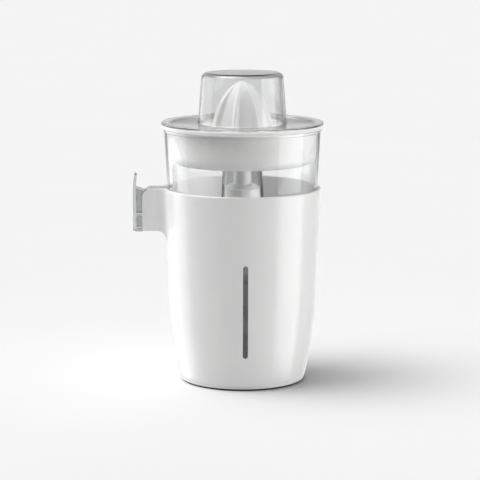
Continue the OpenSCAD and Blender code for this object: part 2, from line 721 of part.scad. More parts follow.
// ---- Motor: a two-pole synchronous motor with a U-shaped core, seen from the rotor's axis ----
core_low = 10;
core_t = 16;
core_top = core_low + core_t;
rotor_r = 8.5;
bore_r = 9;
pole_half = 14;
pole_left = -12.5;
pole_right = 10.5;
leg_out = 10.3;
leg_in = 4.8;
core_length = 45;
yoke_t = 6;
coil_from = 13;
coil_to = 36;
coil_wrap = 2.6;
motor_screws_at = [[7.4, 10.8], [7.4, -10.8]];
module stator_core() {
    color("slategray") at_rotor() translate([0, 0, core_low]) difference() {
        linear_extrude(core_t) difference() {
            union() {
                polygon([[pole_left + 4, -pole_half], [pole_right, -pole_half], [pole_right, pole_half],
                         [pole_left + 4, pole_half], [pole_left, pole_half - 4], [pole_left, -pole_half + 4]]);
                translate([0, -leg_out]) square([core_length, 2 * leg_out]);
            }
            circle(r = bore_r);
            translate([0, -leg_in]) square([core_length - yoke_t, 2 * leg_in]);
            translate([pole_left - 1, -1.2]) square([abs(pole_left), 2.4]);
        }
        for (p = motor_screws_at) translate([p[0], p[1], -1]) cylinder(r = screw_r + 0.1, h = core_t + 2);
    }
}
// Hollow box round one leg, from x = from to x = to, wrap thick beyond the gap
module leg_wrap(from, to, gap, wrap) {
    low = leg_in - gap - wrap;
    high = leg_out + gap + wrap;
    for (side = [0, 1]) mirror([0, side]) difference() {
        translate([from, low, core_low - gap - wrap]) cube([to - from, high - low, core_t + 2 * (gap + wrap)]);
        translate([from - 1, leg_in - gap, core_low - gap]) cube([to - from + 2, leg_out - leg_in + 2 * gap, core_t + 2 * gap]);
    }
}
module coil_bobbins() {
    color("white") at_rotor() {
        leg_wrap(coil_from, coil_to, 0.1, 0.7);
        for (x = [coil_from, coil_to - 0.8]) leg_wrap(x, x + 0.8, 0.1, coil_wrap);
    }
}
module coil_windings() {
    color("chocolate") at_rotor() leg_wrap(coil_from + 0.85, coil_to - 0.85, 0.85, coil_wrap - 1);
}
module rotor_magnet() {
    color("dimgray") at_rotor() translate([0, 0, core_low + 0.5]) tube(rotor_r, axle_r + press_gap, core_t - 1);
}
module rotor_shaft() {
    color("silver") at_rotor() translate([0, 0, core_low - 2.2])
        cylinder(r = axle_r, h = wheel_low + wheel_t + 0.4 - core_low + 2.2);
}
bracket_t = 2.6;
module motor_bracket() {
    color("gainsboro") at_rotor() translate([0, 0, core_low - bracket_t]) difference() {
        linear_extrude(bracket_t - 0.05) difference() {
            polygon([[pole_left + 4, -pole_half], [pole_right, -pole_half], [pole_right, pole_half],
                     [pole_left + 4, pole_half], [pole_left, pole_half - 4], [pole_left, -pole_half + 4]]);
            circle(r = axle_r + running_gap);
        }
        for (p = motor_screws_at) translate([p[0], p[1], -1]) cylinder(r = screw_r + 0.1, h = bracket_t + 2);
    }
}
// A screw with its head down: the head's upper face is at z = 0 and the shank goes up
module screw(shank, head_r = 2.8, head_t = 1.7) {
    cylinder(r = screw_r, h = shank);
    difference() {
        translate([0, 0, -head_t]) cylinder(r = head_r, h = head_t);
        for (a = [0, 90]) rotate([0, 0, a]) translate([-head_r * 0.6, -0.35, -head_t - 1]) cube([head_r * 1.2, 0.7, 1.9]);
    }
}
module motor_screws() {
    color("silver") at_rotor() for (p = motor_screws_at)
        translate([p[0], p[1], core_low - bracket_t]) screw(gear_plate_top - core_low + bracket_t - 0.3, 2.4, 1.3);
}
module gear_plate() {
    color("lightsteelblue") in_gear_frame() difference() {
        union() {
            translate([0, 0, gear_plate_low]) cylinder(r = plate_r, h = gear_plate_t);
            // Spacers down to the motor's core, and the rotor's upper bearing
            translate([rotor_at[0], rotor_at[1], 0]) {
                for (p = motor_screws_at) translate([p[0], p[1], core_top + 0.05])
                    cylinder(r = 2.7, h = gear_plate_low + 1 - core_top);
                translate([0, 0, core_top + 0.8]) cylinder(r = 4, h = gear_plate_low - core_top);
            }
        }
        translate([0, 0, gear_plate_low - 1]) cylinder(r = spindle_r + 2.4 + press_gap, h = 5);
        translate([idler_at[0], idler_at[1], gear_plate_low - 1]) cylinder(r = axle_r + press_gap, h = 5);
        translate([rotor_at[0], rotor_at[1], core_top]) {
            cylinder(r = axle_r + running_gap, h = 10);
            for (p = motor_screws_at) translate([p[0], p[1], -1]) cylinder(r = screw_hole_r, h = 10);
        }
        translate([0, 0, gear_plate_low - 1]) at_polar(standoff_circle, standoff_angles) cylinder(r = screw_hole_r, h = 5);
        // Openings that save material and let air through
        for (a = [-10, 30, 270]) rotate([0, 0, a]) translate([20, -6, gear_plate_low - 1]) cube([12, 12, 5]);
    }
}
module plate_screws() {
    color("silver") in_gear_frame() at_polar(standoff_circle, standoff_angles)
        translate([0, 0, gear_plate_low - 0.05]) screw(9, 2.8, 1.1);
}

// ---- Start switch under the push rod ----
switch_l = 20;
switch_w = 10;
switch_h = 7;
button_r = 1.6;
roof_low = rod_low + 0.4;
roof_t = spring_low - roof_low;
bracket_x = switch_l / 2 + 2;
foot_x = bracket_x + 7;
module switch_bracket() {
    w = switch_w + 1.4;
    leg = 1.6;
    color("gainsboro") in_gear_frame() difference() {
        union() {
            translate([-bracket_x - leg, -w / 2, roof_low]) cube([2 * (bracket_x + leg), w, roof_t]);
            for (side = [0, 1]) mirror([side, 0, 0]) {
                translate([bracket_x, -w / 2, plate_top + 0.05]) cube([leg, w, roof_low + tiny - plate_top - 0.05]);
                translate([bracket_x, -w / 2, plate_top + 0.05]) cube([foot_x - bracket_x, w, leg]);
            }
        }
        cylinder(r = rod_r + 0.4, h = 40);
        for (side = [-1, 1]) translate([side * (foot_x - 2.8), 0, 0]) cylinder(r = screw_hole_r, h = 12);
    }
}
module bracket_screws() {
    color("silver") in_gear_frame() for (side = [-1, 1])
        translate([side * (foot_x - 2.8), 0, plate_top + 1.7]) rotate([180, 0, 0]) screw(3.2, 2.4, 1.4);
}
module switch_body() {
    color("dimgray") in_gear_frame() difference() {
        translate([-switch_l / 2, -switch_w / 2, plate_top + 0.05]) cube([switch_l, switch_w, switch_h]);
        translate([0, 0, plate_top + 2]) cylinder(r = button_r + 0.1, h = switch_h);
    }
}
module switch_button() {
    low = plate_top + 2.2 + press_travel;
    color("firebrick") translate([0, 0, low]) cylinder(r = button_r, h = rod_low - low);
}
module switch_terminals() {
    color("gold") in_gear_frame() for (x = [-7, 7])
        translate([x - 1.2, -switch_w / 2 - 5, plate_top + 2.4]) cube([2.4, 4.95, 0.8]);
}

// ---- Mains side: filter board, capacitor and terminal block ----
board_at = [20, -25];
board_size = [24, 22];
board_low = plate_top + 4;
module on_board(z) { in_gear_frame() translate([board_at[0], board_at[1], z]) children(); }
module filter_board() {
    color("seagreen") on_board(board_low) difference() {
        translate([-board_size[0] / 2, -board_size[1] / 2, 0]) cube([board_size[0], board_size[1], 1.6]);
        for (x = [-1, 1], y = [-1, 1]) translate([x * (board_size[0] / 2 - 2.5), y * (board_size[1] / 2 - 2.5), -1])
            cylinder(r = 1.1 + press_gap, h = 4);
    }
}
module suppressor_capacitor() {
    color("goldenrod") on_board(board_low + 1.65) translate([-9, -7, 0]) cube([18, 6, 12]);
}
module terminal_block() {
    color("darkgreen") on_board(board_low + 1.65) difference() {
        translate([-8, 2, 0]) cube([16, 7, 9]);
        for (x = [-4, 4]) {
            translate([x, 5.5, 4]) cylinder(r = 1.9, h = 6);
            translate([x, 1, 3]) rotate([-90, 0, 0]) cylinder(r = 1.6, h = 9);
        }
    }
}
module cord_gland() {
    flange_t = 2;
    tip = gland_pad_y + 9;
    y0 = gland_inner_y - gland_collar_t;
    color("dimgray") along_y(y0) rotate_extrude() polygon([[cord_r, 0], [gland_collar_r, 0],
        [gland_collar_r, gland_collar_t], [gland_barrel_r, gland_collar_t], [gland_barrel_r, gland_pad_y + 0.05 - y0],
        [gland_pad_r - 1.4, gland_pad_y + 0.05 - y0], [gland_pad_r - 1.8, gland_pad_y + flange_t - y0],
        [cord_r + 2.2, gland_pad_y + flange_t - y0], [cord_r + 1.4, tip - y0], [cord_r, tip - y0]]);
}

// ---- Base ----
base_plate_r = base_r - 0.9;
locating_r = body_r(plate_top) - wall - loose_gap;
foot_out = base_plate_r - 1.4;
foot_in = foot_out - 4.4;
groove_depth = 0.8;
base_head_r = 3.2;
module base_plate() {
    color("dimgray") difference() {
        union() {
            translate([0, 0, plate_low]) cylinder(r = base_plate_r, h = plate_t);
            translate([0, 0, plate_top - tiny]) tube(locating_r, locating_r - 1.6, 2.6);
            in_gear_frame() {
                at_polar(boss_circle, boss_angles) translate([0, 0, plate_top - tiny]) cylinder(r = 5, h = 3 + tiny);
                translate([board_at[0], board_at[1], plate_top - tiny])
                    for (x = [-1, 1], y = [-1, 1])
                        translate([x * (board_size[0] / 2 - 2.5), y * (board_size[1] / 2 - 2.5), 0]) {
                            cylinder(r = 2.2, h = board_low - plate_top);
                            cylinder(r = 1.1, h = board_low - plate_top + 2.4);
                        }
            }
        }
        translate([0, 0, plate_low - 1]) tube(foot_out + 0.1, foot_in - 0.1, groove_depth + 1);
        in_gear_frame() {
            at_polar(boss_circle, boss_angles) translate([0, 0, plate_low - 1]) {
                cylinder(r = screw_r + 0.15, h = 10);
                cylinder(r = base_head_r + 0.3, h = plate_t + 1.2);
            }
            // Vents under the motor
            for (i = [-3:3]) translate([rotor_at[0] + 16 + i * 5, rotor_at[1] - 9, plate_low - 1]) cube([2, 18, 5]);
            // Holes for the switch bracket's screws
            for (side = [-1, 1]) translate([side * (foot_x - 2.8), 0, plate_low - 1]) cylinder(r = screw_hole_r, h = 5);
        }
    }
}
module foot_ring() {
    color("black") tube(foot_out, foot_in, plate_low + groove_depth - 0.05);
}
module base_screws() {
    color("silver") in_gear_frame() at_polar(boss_circle, boss_angles)
        translate([0, 0, plate_low + plate_t + 0.15]) screw(13, base_head_r, 2);
}

dust_cover();
reamer_cone();
cone_socket();
cone_pin();
drive_coupling();
coupling_clip();
strainer_bowl();
juice_jug();
jug_handle();
outer_housing();
level_window();
inner_well();
shaft_seal();
upper_bush();
lower_bush();
drive_spindle();
spindle_clip();
output_gear();
push_rod();
return_spring();
idler_gear();
idler_axle();
rotor_magnet();
rotor_shaft();
rotor_pinion();
stator_core();
coil_bobbins();
coil_windings();
motor_bracket();
motor_screws();
gear_plate();
plate_screws();
switch_bracket();
switch_body();
switch_button();
switch_terminals();
bracket_screws();
filter_board();
suppressor_capacitor();
terminal_block();
cord_gland();
base_plate();
foot_ring();
base_screws();
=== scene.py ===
"""Looks for the citrus juicer: camera, studio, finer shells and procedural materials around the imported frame.

Metres, in the frame's own axes: +Z up the drive axis, the front is -Y and the jug's handle is on -X.
"""

import json
import math

import bmesh
import bpy
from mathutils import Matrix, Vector


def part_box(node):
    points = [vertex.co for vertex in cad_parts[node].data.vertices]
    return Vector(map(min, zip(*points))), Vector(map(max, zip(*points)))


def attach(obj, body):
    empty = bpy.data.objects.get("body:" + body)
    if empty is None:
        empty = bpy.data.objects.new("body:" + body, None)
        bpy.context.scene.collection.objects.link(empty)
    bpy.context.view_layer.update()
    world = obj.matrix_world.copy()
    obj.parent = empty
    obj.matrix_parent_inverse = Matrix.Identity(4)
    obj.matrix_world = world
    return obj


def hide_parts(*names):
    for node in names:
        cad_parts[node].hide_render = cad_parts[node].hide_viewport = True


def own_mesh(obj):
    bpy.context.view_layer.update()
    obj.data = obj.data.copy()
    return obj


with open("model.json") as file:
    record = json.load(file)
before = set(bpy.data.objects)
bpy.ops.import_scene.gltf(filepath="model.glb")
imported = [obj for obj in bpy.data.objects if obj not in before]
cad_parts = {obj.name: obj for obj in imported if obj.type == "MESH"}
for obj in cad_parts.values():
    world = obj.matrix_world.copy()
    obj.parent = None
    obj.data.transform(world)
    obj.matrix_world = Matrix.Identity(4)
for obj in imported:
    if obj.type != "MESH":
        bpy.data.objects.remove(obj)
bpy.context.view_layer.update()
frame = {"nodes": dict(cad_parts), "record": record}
MM = 0.001
TURNS = 256  # segments of a turned shell
PAST = 10 * MM  # how far a cutter runs past what it cuts


# ---------------------------------------------------------------- sizes, taken from the frame
def low(node):
    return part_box(node)[0]


def high(node):
    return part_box(node)[1]


HOUSING_LOW = low("outer_housing")[2]
HOUSING_TOP = high("outer_housing")[2]
RIM_R = high("outer_housing")[0]
CHEEK_REACH = -low("outer_housing")[0]
WALL = 2.4 * MM
TAPER = math.tan(math.radians(2.25))
CURVE_R = 420 * MM
BASE_R = high("base_plate")[0] + 0.9 * MM
CHEEK_HALF = 13 * MM
CHEEK_T = 2.4 * MM
CHEEK_LOW = HOUSING_TOP - 39.3 * MM
CHEEK_CORNER = 9 * MM
CHEEK_FILLET = 12 * MM
UNDER_FILLET = 8 * MM
CHEEK_ROOT = RIM_R - 14 * MM
SLOT_LOW = 31.8 * MM
SLOT_HIGH = 118.5 * MM
SLOT_W = 4.7 * MM

JUG_LOW = low("juice_jug")[2]
JUG_TOP = high("juice_jug")[2]
JUG_FLANGE_R = high("juice_jug")[0]
JUG_MOUTH_R = JUG_FLANGE_R - 1.3 * MM
JUG_WALL = 2 * MM
JUG_FLOOR = 2.4 * MM
JUG_CORNER = 9 * MM
JUG_CLEAR = 2.1 * MM  # gap to the housing's wall at the jug's floor
JUG_NECK_R = RIM_R - WALL - 0.6 * MM
HANDLE_REACH = -low("jug_handle")[0]
HANDLE_T = 3.3 * MM
HANDLE_H = 53 * MM
HANDLE_HALF = 9.2 * MM

BOWL_LOW = low("strainer_bowl")[2]
BOWL_TOP = high("strainer_bowl")[2]
BOWL_FLANGE_R = high("strainer_bowl")[0]
BOWL_WALL = 2 * MM
BOWL_R = JUG_MOUTH_R - JUG_WALL - 0.6 * MM
CHIMNEY_R = 17.6 * MM
CHIMNEY_TOP = BOWL_LOW + 8.8 * MM
CHIMNEY_SLOPE = math.tan(math.radians(3.1))

COVER_R = high("dust_cover")[0]
COVER_TOP = high("dust_cover")[2]
COVER_WALL = 2 * MM
DOME_R = 41.2 * MM
DOME_SLOPE = 0.07
CONE_LOW = low("reamer_cone")[2]
CONE_TOP = high("reamer_cone")[2]
CONE_R = 31.5 * MM
FLUTE_DEPTH = 4.6 * MM
LINING_INSET = 6.4 * MM  # leaves 1.8 mm of wall behind the deepest flute


def camera_setup():
    data = bpy.data.cameras.new("camera")
    cam = bpy.data.objects.new("camera", data)
    bpy.context.collection.objects.link(cam)
    azimuth = math.radians(-2.3)
    elevation = math.radians(9.34)
    target = Vector((-2.25, 0, 131.2)) * MM
    distance = 1.9016
    back = Vector((math.sin(azimuth) * math.cos(elevation), -math.cos(azimuth) * math.cos(elevation),
                   math.sin(elevation)))
    cam.location = target + back * distance
    cam.rotation_euler = (-back).to_track_quat("-Z", "Y").to_euler()
    data.angle = math.radians(13.453)
    data.clip_end = 50
    bpy.context.scene.camera = cam


camera_setup()


# ---------------------------------------------------------------- mesh helpers
def arc(centre, radius, start, end, count=10):
    """Points of an arc in the (r, z) plane, angles in degrees."""
    out = []
    for i in range(count + 1):
        a = math.radians(start + (end - start) * i / count)
        out.append((centre[0] + radius * math.cos(a), centre[1] + radius * math.sin(a)))
    return out


def make_object(name, bm):
    mesh = bpy.data.meshes.new(name)
    bmesh.ops.recalc_face_normals(bm, faces=bm.faces)
    bm.to_mesh(mesh)
    bm.free()
    obj = bpy.data.objects.new(name, mesh)
    bpy.context.collection.objects.link(obj)
    return obj


def lathe(name, section, turns=None):
    """Turns a closed (r, z) section about the Z axis. Points at r = 0 become poles."""
    turns = turns or TURNS
    bm = bmesh.new()
    rings = []
    for r, z in section:
        if r < 1e-7:
            rings.append([bm.verts.new((0, 0, z))])
            continue
        angles = [2 * math.pi * k / turns for k in range(turns)]
        rings.append([bm.verts.new((r * math.cos(a), r * math.sin(a), z)) for a in angles])
    for a, b in zip(rings, rings[1:] + rings[:1]):
        if len(a) == 1 and len(b) == 1:
            continue
        for k in range(turns):
            n = (k + 1) % turns
            if len(a) == 1:
                bm.faces.new((a[0], b[n], b[k]))
            elif len(b) == 1:
                bm.faces.new((a[k], a[n], b[0]))
            else:
                bm.faces.new((a[k], a[n], b[n], b[k]))
    return make_object(name, bm)


def prism(name, outline, start, end, place):
    """Extrudes a 2-D outline from start to end. place(u, v, w) gives the point in space."""
    bm = bmesh.new()
    ends = [[bm.verts.new(place(u, v, w)) for u, v in outline] for w in (start, end)]
    bm.faces.new(ends[0])
    bm.faces.new(list(reversed(ends[1])))
    count = len(outline)
    for i in range(count):
        j = (i + 1) % count
        bm.faces.new((ends[0][i], ends[1][i], ends[1][j], ends[0][j]))
    return make_object(name, bm)


def upright(u, v, w):
    """Outline in plan, extruded up."""
    return (u, v, w)


def frontal(u, v, w):
    """Outline in the front view (x, z), extruded along Y."""
    return (u, w, v)


def sideways(u, v, w):
    """Outline in the side view (y, z), extruded along X."""
    return (w, u, v)


def apply_modifier(obj, modifier):
    with bpy.context.temp_override(object=obj, active_object=obj, selected_objects=[obj]):
        bpy.ops.object.modifier_apply(modifier=modifier.name)


def combine(obj, tool, operation):
    """Boolean of obj with tool; tool goes."""
    modifier = obj.modifiers.new("combine", "BOOLEAN")
    modifier.operation = operation
    modifier.solver = "EXACT"
    modifier.object = tool
    apply_modifier(obj, modifier)
    bpy.data.objects.remove(tool, do_unlink=True)
    return obj


def join(objects, name):
    """One object from several, without merging their surfaces."""
    bm = bmesh.new()
    for obj in objects:
        bm.from_mesh(obj.data)
        bpy.data.objects.remove(obj, do_unlink=True)
    return make_object(name, bm)


def soften(obj, width, angle=35, segments=3):
    """Rounds the sharp edges that the booleans leave."""
    modifier = obj.modifiers.new("edges", "BEVEL")
    modifier.width = width
    modifier.segments = segments
    modifier.limit_method = "ANGLE"
    modifier.angle_limit = math.radians(angle)
    modifier.harden_normals = False
    modifier.use_clamp_overlap = True
    apply_modifier(obj, modifier)
    return obj


def smooth(obj, angle=30):
    """Smooth shading with edges sharper than angle kept."""
    for p in obj.data.polygons:
        p.use_smooth = True
    bm = bmesh.new()
    bm.from_mesh(obj.data)
    for e in bm.edges:
        e.smooth = not (len(e.link_faces) == 2 and e.calc_face_angle(0) > math.radians(angle))
    bm.to_mesh(obj.data)
    bm.free()
    return obj


def clean(obj, distance=1e-6):
    """Merges points that lie on each other and drops edges and faces without size."""
    bm = bmesh.new()
    bm.from_mesh(obj.data)
    bmesh.ops.remove_doubles(bm, verts=bm.verts, dist=distance)
    bmesh.ops.dissolve_degenerate(bm, edges=bm.edges, dist=distance)
    bm.to_mesh(obj.data)
    bm.free()
    return obj


# ---------------------------------------------------------------- materials
class Nodes:
    """A material's node tree, with a short way to add and link nodes."""

    def __init__(self, name):
        self.material = bpy.data.materials.new(name)
        self.material.use_nodes = True
        self.tree = self.material.node_tree
        self.tree.nodes.clear()
        self.output = self.add("ShaderNodeOutputMaterial")
        self.shader = self.add("ShaderNodeBsdfPrincipled")
        self.link(self.shader, "BSDF", self.output, "Surface")
        self.coordinates = self.add("ShaderNodeTexCoord")

    def add(self, kind, **settings):
        node = self.tree.nodes.new(kind)
        for key, value in settings.items():
            if hasattr(node, key):
                setattr(node, key, value)
            else:
                node.inputs[key.replace("_", " ")].default_value = value
        return node

    def link(self, a, out, b, into):
        self.tree.links.new(a.outputs[out], b.inputs[into])

    def set(self, **values):
        for key, value in values.items():
            self.shader.inputs[key.replace("_", " ")].default_value = value

    def noise(self, scale, detail=3.0, roughness=0.5, stretch=None):
        """Noise in the row's metres, so that the grain has one real size everywhere."""
        node = self.add("ShaderNodeTexNoise")
        node.inputs["Scale"].default_value = scale
        node.inputs["Detail"].default_value = detail
        node.inputs["Roughness"].default_value = roughness
        if stretch is None:
            self.link(self.coordinates, "Object", node, "Vector")
        else:
            mapping = self.add("ShaderNodeMapping")
            mapping.inputs["Scale"].default_value = stretch
            self.link(self.coordinates, "Object", mapping, "Vector")
            self.link(mapping, "Vector", node, "Vector")
        return node

    def ramp(self, source, out, low_colour, high_colour, start=0.3, end=0.7):
        node = self.add("ShaderNodeValToRGB")
        node.color_ramp.elements[0].position = start
        node.color_ramp.elements[0].color = low_colour
        node.color_ramp.elements[1].position = end
        node.color_ramp.elements[1].color = high_colour
        self.link(source, out, node, "Fac")
        return node

    def spread(self, source, out, low_value, high_value, into):
        """Maps 0..1 to a range and links it to a socket of the shader."""
        node = self.add("ShaderNodeMapRange")
        node.inputs["To Min"].default_value = low_value
        node.inputs["To Max"].default_value = high_value
        self.link(source, out, node, "Value")
        self.link(node, "Result", self.shader, into)
        return node

    def bump(self, source, out, distance, strength=1.0):
        node = self.add("ShaderNodeBump")
        node.inputs["Distance"].default_value = distance
        node.inputs["Strength"].default_value = strength
        self.link(source, out, node, "Height")
        self.link(node, "Normal", self.shader, "Normal")
        return node


def grey(v, alpha=1.0):
    return (v, v, v, alpha)


def tone(colour, factor):
    return tuple(c * factor for c in colour) + (1.0,)


def plastic(name, colour, roughness, grain=900.0, depth=0.000004, coat=0.0, variation=0.03, subsurface=0.0):
    """Moulded plastic: faint mottling of the colour, uneven gloss and a fine orange peel."""
    n = Nodes(name)
    n.set(IOR=1.5, Coat_Weight=coat, Coat_Roughness=0.18)
    if subsurface:
        n.set(Subsurface_Weight=subsurface, Subsurface_Scale=0.002)
        n.shader.inputs["Subsurface Radius"].default_value = (1.0, 0.9, 0.8)
    cloud = n.noise(22.0, 4.0)
    colours = n.ramp(cloud, "Fac", tone(colour, 1 - variation), tone(colour, 1.0))
    n.link(colours, "Color", n.shader, "Base Color")
    fine = n.noise(grain, 2.0)
    n.spread(cloud, "Fac", roughness * 0.85, roughness * 1.15, "Roughness")
    n.bump(fine, "Fac", depth)
    return n.material


def metal(name, colour, roughness, stretch=(1.0, 1.0, 60.0), scale=40.0, variation=0.15):
    """Drawn or rolled metal: fine lines along one way in its colour and gloss."""
    n = Nodes(name)
    n.set(Metallic=1.0)
    lines = n.noise(scale, 5.0, 0.6, stretch)
    colours = n.ramp(lines, "Fac", tone(colour, 1 - variation), tone(colour, 1.0))
    n.link(colours, "Color", n.shader, "Base Color")
    n.spread(lines, "Fac", roughness * 0.7, roughness * 1.3, "Roughness")
    n.bump(lines, "Fac", 0.000003)
    return n.material


def clear_plastic(name, tint, edge, roughness):
    """Clear polished plastic, darker where it is seen edge on.

    Light passes straight through it to what is inside.
    """
    n = Nodes(name)
    n.set(IOR=1.49, Transmission_Weight=1.0)
    cloud = n.noise(14.0, 3.0)
    colours = n.ramp(cloud, "Fac", tone(tint, 0.985), tone(tint, 1.0))
    facing = n.add("ShaderNodeLayerWeight", Blend=0.5)
    deeper = n.add("ShaderNodeMix", data_type="RGBA", blend_type="MULTIPLY")
    depth = n.ramp(facing, "Facing", grey(1.0), grey(edge), 0.5, 0.92)
    deeper.inputs["Factor"].default_value = 1.0
    # A mix node has one A, B and Result for each data type: 6, 7 and 2 are the colours
    n.tree.links.new(colours.outputs["Color"], deeper.inputs[6])
    n.tree.links.new(depth.outputs["Color"], deeper.inputs[7])
    n.tree.links.new(deeper.outputs[2], n.shader.inputs["Base Color"])
    n.spread(cloud, "Fac", roughness * 0.6, roughness * 1.4, "Roughness")
    waves = n.noise(35.0, 2.0)
    n.bump(waves, "Fac", 0.00001)
    lamps = n.add("ShaderNodeLightPath")
    passing = n.add("ShaderNodeBsdfTransparent")
    passing.inputs["Color"].default_value = grey(0.985)
    mix = n.add("ShaderNodeMixShader")
    n.link(lamps, "Is Shadow Ray", mix, "Fac")
    n.tree.links.new(n.shader.outputs["BSDF"], mix.inputs[1])
    n.tree.links.new(passing.outputs["BSDF"], mix.inputs[2])
    n.link(mix, "Shader", n.output, "Surface")
    return n.material


def make_materials():
    m = {}
    m["clear_plastic"] = clear_plastic("clear_plastic", (0.95, 0.953, 0.955), 0.45, 0.02)
    m["clear_cover"] = clear_plastic("clear_cover", (0.85, 0.853, 0.855), 0.3, 0.05)
    m["clear_thick"] = clear_plastic("clear_thick", (0.62, 0.625, 0.63), 0.6, 0.2)
    m["white_gloss"] = plastic("white_gloss", (0.83, 0.83, 0.83), 0.3, coat=1.0, variation=0.01,
                               subsurface=0.3)
    m["white_matt"] = plastic("white_matt", (0.82, 0.82, 0.815), 0.33, variation=0.015)
    m["white_food"] = plastic("white_food", (0.8, 0.8, 0.797), 0.28, variation=0.012, subsurface=0.3)
    m["well_white"] = plastic("well_white", (0.92, 0.92, 0.92), 0.3, variation=0.012, subsurface=0.5)
    m["smoky_plastic"] = smoky_plastic()
    m["grey_plastic"] = plastic("grey_plastic", (0.8, 0.803, 0.806), 0.35)
    m["gear_plastic"] = plastic("gear_plastic", (0.72, 0.68, 0.58), 0.42, variation=0.06, subsurface=0.1)
    m["black_plastic"] = plastic("black_plastic", (0.025, 0.025, 0.028), 0.45, variation=0.2)
    m["red_plastic"] = plastic("red_plastic", (0.45, 0.03, 0.02), 0.35, variation=0.1)
    m["terminal_plastic"] = plastic("terminal_plastic", (0.03, 0.16, 0.06), 0.4, variation=0.12)
    m["capacitor"] = plastic("capacitor", (0.62, 0.38, 0.05), 0.25, variation=0.1)
    m["board"] = plastic("board", (0.02, 0.12, 0.05), 0.3, variation=0.25)
    m["silicone"] = plastic("silicone", (0.72, 0.72, 0.72), 0.5, grain=2500.0, depth=0.00001)
    m["rubber"] = plastic("rubber", (0.035, 0.035, 0.037), 0.75, grain=2500.0, depth=0.00002, variation=0.25)
    m["steel"] = metal("steel", (0.62, 0.62, 0.63), 0.24)
    m["zinc_steel"] = metal("zinc_steel", (0.55, 0.57, 0.6), 0.38, (30.0, 1.0, 1.0), 12.0, 0.25)
    m["laminations"] = metal("laminations", (0.28, 0.29, 0.31), 0.45, (0.2, 0.2, 90.0), 14.0, 0.5)
    m["ferrite"] = plastic("ferrite", (0.06, 0.06, 0.065), 0.55, grain=1800.0, depth=0.00002, variation=0.3)
    m["bronze"] = metal("bronze", (0.55, 0.34, 0.15), 0.42, (1.0, 1.0, 1.0), 700.0, 0.35)
    m["brass"] = metal("brass", (0.75, 0.55, 0.2), 0.25)
    m["copper"] = metal("copper", (0.6, 0.22, 0.09), 0.3, (1.0, 1.0, 1.0), 300.0, 0.3)
    return m


def smoky_plastic():
    """Smoky insert with painted light and shade in its colour: painted lighter at its top end, painted darker
    where the floor of the jug stands behind it, and a painted highlight at its foot.
    """
    n = Nodes("smoky_plastic")
    n.set(IOR=1.5, Coat_Weight=0.3, Coat_Roughness=0.08)
    split = n.add("ShaderNodeSeparateXYZ")
    n.link(n.coordinates, "Object", split, "Vector")
    height = n.add("ShaderNodeMapRange")
    height.inputs["From Min"].default_value = SLOT_LOW
    height.inputs["From Max"].default_value = SLOT_HIGH
    n.link(split, "Z", height, "Value")
    ramp = n.add("ShaderNodeValToRGB")
    # Grey along the slot's height is painted light and shade: a painted highlight at the foot, painted shade of
    # the jug's floor behind, and painted light at the top end
    painted_light_and_shade_stops = [(0.0, 0.1), (0.12, 0.085), (0.25, 0.085), (0.31, 0.12), (0.88, 0.12), (0.93, 0.2), (1.0, 0.22)]
    ramp.color_ramp.elements.remove(ramp.color_ramp.elements[1])
    ramp.color_ramp.elements[0].position = painted_light_and_shade_stops[0][0]
    ramp.color_ramp.elements[0].color = grey(painted_light_and_shade_stops[0][1])
    for position, value in painted_light_and_shade_stops[1:]:
        ramp.color_ramp.elements.new(position).color = grey(value)
    n.link(height, "Result", ramp, "Fac")
    n.link(ramp, "Color", n.shader, "Base Color")
    cloud = n.noise(60.0, 3.0)
    n.spread(cloud, "Fac", 0.22, 0.34, "Roughness")
    n.bump(cloud, "Fac", 0.00001)
    return n.material


MATERIALS = make_materials()


def paint(obj, name):
    obj.data.materials.clear()
    obj.data.materials.append(MATERIALS[name])


def piece(obj, node, body, material):
    """Hands a finished shell over: it stands for a CAD node, rides on its body and takes its material."""
    paint(obj, material)
    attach(obj, body)
    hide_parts(*([node] if isinstance(node, str) else node))
    return obj


# ---------------------------------------------------------------- outline of the housing
ARC_DROP = RIM_R - BASE_R - TAPER * (HOUSING_TOP - HOUSING_LOW)
ARC_FROM = HOUSING_LOW + math.sqrt(2 * CURVE_R * ARC_DROP)
ARC_CENTRE = (RIM_R - (HOUSING_TOP - ARC_FROM) * TAPER - CURVE_R * math.cos(math.atan(TAPER)),
              ARC_FROM + CURVE_R * math.sin(math.atan(TAPER)))


def body_r(z, inset=0.0):
    """Outer radius of the housing at height z, less inset."""
    if z > ARC_FROM:
        return RIM_R - (HOUSING_TOP - z) * TAPER - inset
    return ARC_CENTRE[0] + math.sqrt((CURVE_R - inset) ** 2 - (z - ARC_CENTRE[1]) ** 2)


def heights(start, end, count):
    """Evenly spaced numbers from start to end."""
    return [start + (end - start) * i / count for i in range(count + 1)]


def housing_section():
    """Half section of the housing's wall, with a rounded rim and foot."""
    edge = WALL / 2
    foot_edge = 0.8 * MM
    top = HOUSING_TOP - edge
    outside = [(body_r(z), z) for z in heights(HOUSING_LOW + foot_edge, top, 70)]
    inside = [(body_r(z, WALL), z) for z in heights(top, HOUSING_LOW, 40)]
    rim = arc((body_r(top) - edge, top), edge, 0, 180, 12)[1:-1]
    foot = arc((body_r(HOUSING_LOW) - foot_edge, HOUSING_LOW + foot_edge), foot_edge, -90, 0, 5)[:-1]
    return foot + outside + rim + inside


def cradle_outline(z):
    """Plan of the cradle at height z: two cheeks that run into the housing with round fillets."""
    reach = CHEEK_FILLET + CHEEK_HALF
    centre = (-math.sqrt((body_r(z) + CHEEK_FILLET) ** 2 - reach ** 2), reach)
    meet = math.degrees(math.atan2(-centre[1], -centre[0]))
    curve = arc(centre, CHEEK_FILLET, -90, meet, 24)
    half = [(-CHEEK_REACH, CHEEK_HALF)] + curve + [(-CHEEK_ROOT, curve[-1][1] * 0.9)]
    return half + [(x, -y) for x, y in reversed(half)]


